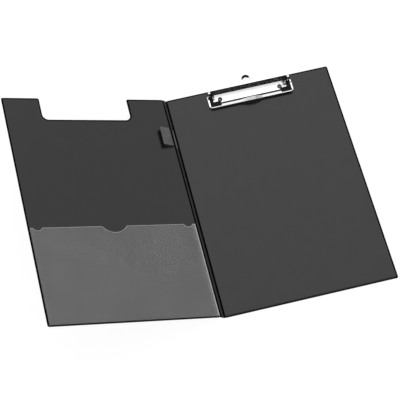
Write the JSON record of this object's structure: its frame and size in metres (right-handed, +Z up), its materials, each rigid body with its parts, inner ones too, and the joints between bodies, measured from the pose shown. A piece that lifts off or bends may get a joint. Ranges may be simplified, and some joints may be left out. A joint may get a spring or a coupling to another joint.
{
  "type": "clipboard folder",
  "caption": "Foolscap clipboard folder in black PVC over greyboard: a hinged cover with a notch, document pocket and pen loop, and a sprung chrome clip with a hanging tab.",
  "frame": {"origin": "centre of the board's back face, which rests on the table", "axes": "+X across the folder, away from the spine; +Y along the board, towards the clip; +Z up off the board"},
  "size_m": [0.4587, 0.357, 0.0994],
  "materials": {
    "black_pvc": "satin",
    "loop_pvc": "satin",
    "greyboard": "matte",
    "clear_film": "gloss",
    "chrome": "polished",
    "washer_steel": "satin",
    "black_rubber": "matte",
    "spring_steel": "satin"
  },
  "bodies": {
    "board": {"board_outer_film": "black_pvc", "board_core": "greyboard", "board_inner_film": "black_pvc", "clip_base_plate": "chrome", "hanging_tab": "chrome", "clip_pivot_pins": "spring_steel", "clip_rivets": "chrome", "rivet_washers": "washer_steel", "left_clip_spring": "spring_steel", "right_clip_spring": "spring_steel"},
    "spine": {"spine_outer_film": "black_pvc", "spine_core": "greyboard", "spine_inner_film": "black_pvc"},
    "cover": {"cover_outer_film": "black_pvc", "cover_core": "greyboard", "cover_inner_film": "black_pvc", "document_pocket": "clear_film", "pen_loop": "loop_pvc"},
    "jaw": {"clip_jaw": "chrome", "left_corner_pad": "black_rubber", "right_corner_pad": "black_rubber"}
  },
  "joints": [
    {"name": "spine_fold", "type": "hinge", "parent": "board", "child": "spine", "pos_m": [-0.118, 0, 0.0003], "axis": [0, 1, 0], "range_deg": [-137.5, 42.5]},
    {"name": "cover_fold", "type": "hinge", "parent": "spine", "child": "cover", "pos_m": [-0.12307, 0, 0.00583], "axis": [0, 1, 0], "range_deg": [-65.3, 114.7], "deforming": ["pen_loop"]},
    {"name": "jaw_hinge", "type": "hinge", "parent": "board", "child": "jaw", "pos_m": [0, 0.1613, 0.0122], "axis": [-1, 0, 0], "range_deg": [0, 40], "stiffness_Nm_per_rad": 0.08, "springref_deg": -57.3, "deforming": ["left_clip_spring", "right_clip_spring"]}
  ]
}
